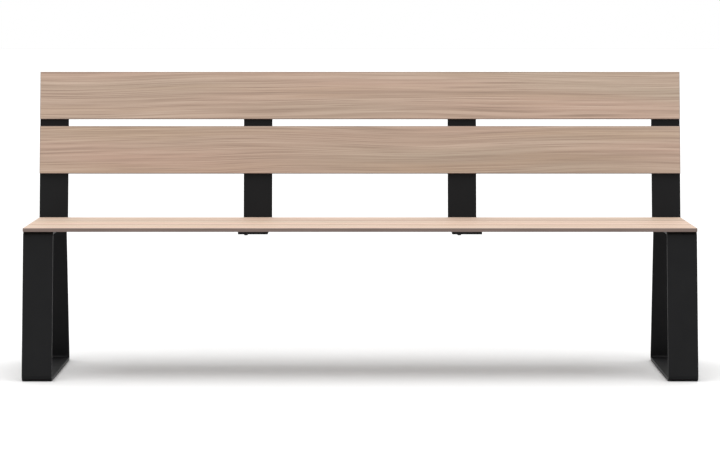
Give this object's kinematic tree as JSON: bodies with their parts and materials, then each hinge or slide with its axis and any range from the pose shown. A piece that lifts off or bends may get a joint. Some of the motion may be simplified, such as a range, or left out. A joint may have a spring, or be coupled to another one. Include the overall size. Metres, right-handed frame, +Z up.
{
  "type": "park bench",
  "caption": "Park bench with a leaning slatted back: laminate boards on bent flat-steel end frames and supports, for bolting to the ground.",
  "frame": {"origin": "on the ground, in the middle of the bench's footprint box", "axes": "+X along the bench to the sitter's left, +Y from the front of the seat to the back, +Z up"},
  "size_m": [1.8, 0.5404, 0.8114],
  "materials": {
    "powder_coated_steel": "fine-textured black powder coat on bent flat steel bar",
    "laminate_board": "compact high-pressure laminate with a pale washed oak decor and a brown core",
    "black_fasteners": "black passivated stainless steel",
    "cap_plastic": "moulded black polyethylene"
  },
  "bodies": {
    "root": {"end_frame_left": "powder_coated_steel", "centre_support_left": "powder_coated_steel", "centre_support_right": "powder_coated_steel", "end_frame_right": "powder_coated_steel", "rear_tube": "powder_coated_steel", "rear_tube_cap_left": "cap_plastic", "rear_tube_cap_right": "cap_plastic", "rear_tube_welds": "powder_coated_steel", "seat_board_front": "laminate_board", "seat_board_front_screws": "black_fasteners", "seat_board_middle": "laminate_board", "seat_board_middle_screws": "black_fasteners", "seat_board_rear": "laminate_board", "seat_board_rear_screws": "black_fasteners", "back_board_lower": "laminate_board", "back_board_lower_screws": "black_fasteners", "back_board_upper": "laminate_board", "back_board_upper_screws": "black_fasteners"}
  },
  "joints": []
}
